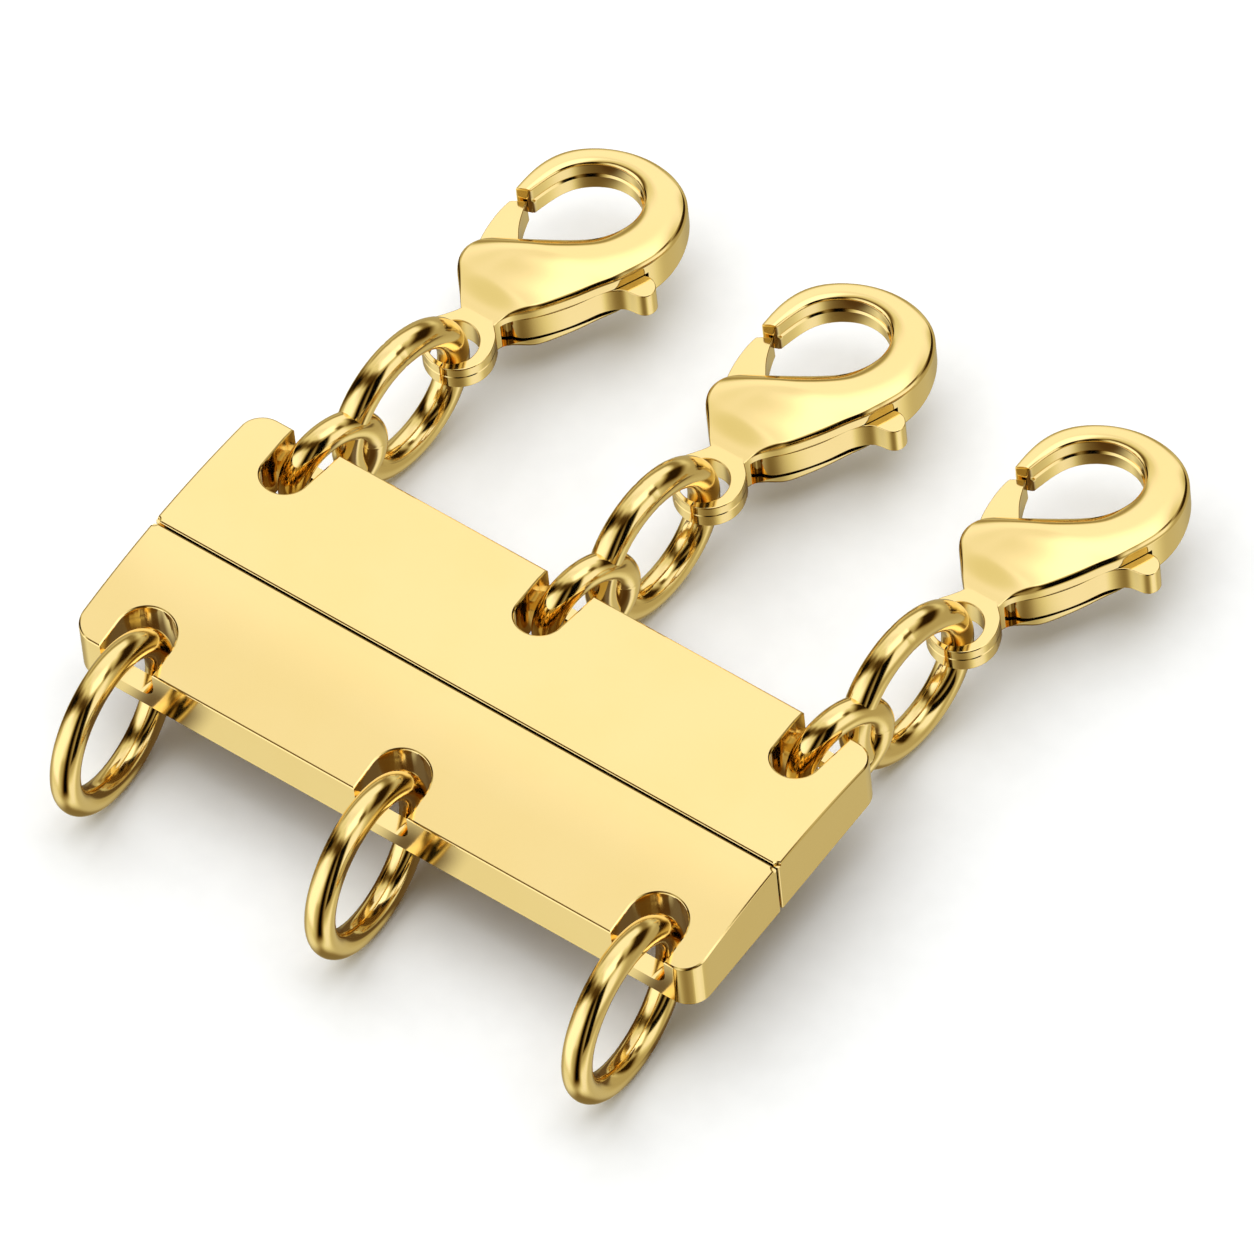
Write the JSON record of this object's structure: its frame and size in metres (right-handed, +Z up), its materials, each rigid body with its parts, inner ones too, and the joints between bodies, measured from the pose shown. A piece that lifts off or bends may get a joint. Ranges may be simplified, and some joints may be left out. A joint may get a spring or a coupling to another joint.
{
  "type": "multi-strand clasp",
  "caption": "Flat polished bar clasp in two halves, with closed end rings on one side and lobster claws on soldered links on the other, for joining layered necklaces.",
  "frame": {"origin": "middle of the whole clasp's plan extent, on the floor that the rings stand on", "axes": "+X along the bar, +Y from the end rings towards the claws, +Z up"},
  "size_m": [0.0332, 0.0372, 0.008],
  "materials": {
    "gold": "mirror polished gold plate over brass"
  },
  "bodies": {
    "back_half": {"back_plate": "gold", "link_1": "gold", "link_2": "gold", "link_3": "gold", "claw_body_1": "gold", "claw_body_2": "gold", "claw_body_3": "gold"},
    "front_half": {"front_plate": "gold", "front_ring_1": "gold", "front_ring_2": "gold", "front_ring_3": "gold"},
    "lever_1": {"claw_lever_1": "gold"},
    "lever_2": {"claw_lever_2": "gold"},
    "lever_3": {"claw_lever_3": "gold"}
  },
  "joints": [
    {"name": "halves_part", "type": "slide", "parent": "back_half", "child": "front_half", "axis": [0, -1, 0], "range_m": [0, 0.012]},
    {"name": "lever_1_hinge", "type": "hinge", "parent": "back_half", "child": "lever_1", "pos_m": [-0.01244, 0.0103, 0.00308], "axis": [0, 0, -1], "range_deg": [0, 22], "stiffness_Nm_per_rad": 0.002, "springref_deg": -20.05},
    {"name": "lever_2_hinge", "type": "hinge", "parent": "back_half", "child": "lever_2", "pos_m": [-0.00034, 0.01029, 0.00308], "axis": [0, 0, -1], "range_deg": [0, 22], "stiffness_Nm_per_rad": 0.002, "springref_deg": -20.05},
    {"name": "lever_3_hinge", "type": "hinge", "parent": "back_half", "child": "lever_3", "pos_m": [0.01196, 0.01015, 0.00308], "axis": [0, 0, -1], "range_deg": [0, 22], "stiffness_Nm_per_rad": 0.002, "springref_deg": -20.05}
  ]
}
